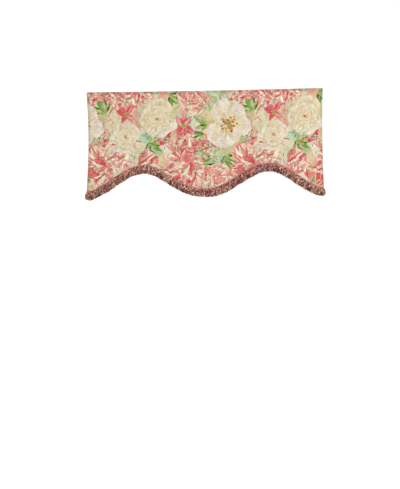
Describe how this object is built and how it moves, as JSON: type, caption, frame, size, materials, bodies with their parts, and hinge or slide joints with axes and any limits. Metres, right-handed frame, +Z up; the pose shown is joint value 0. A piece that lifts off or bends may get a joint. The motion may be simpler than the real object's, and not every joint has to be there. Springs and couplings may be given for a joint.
{
  "type": "window valance",
  "caption": "Flat window valance of floral printed cloth with a scalloped lower edge, short returns at both sides and a brush fringe.",
  "frame": {"origin": "middle of the top edge, in the middle of the cloth's thickness", "axes": "+X to the viewer's right along the top edge, +Y from the front back to the wall, +Z up"},
  "size_m": [1.1173, 0.1032, 0.4959],
  "materials": {
    "printed_cloth": "plain-weave cotton, printed all over with loose watercolour flowers on cream",
    "fringe_yarn": "cut brush fringe of mixed burgundy, brown, rose, tan and olive yarns"
  },
  "bodies": {
    "root": {"valance_cloth": "printed_cloth", "brush_fringe": "fringe_yarn"}
  },
  "joints": []
}
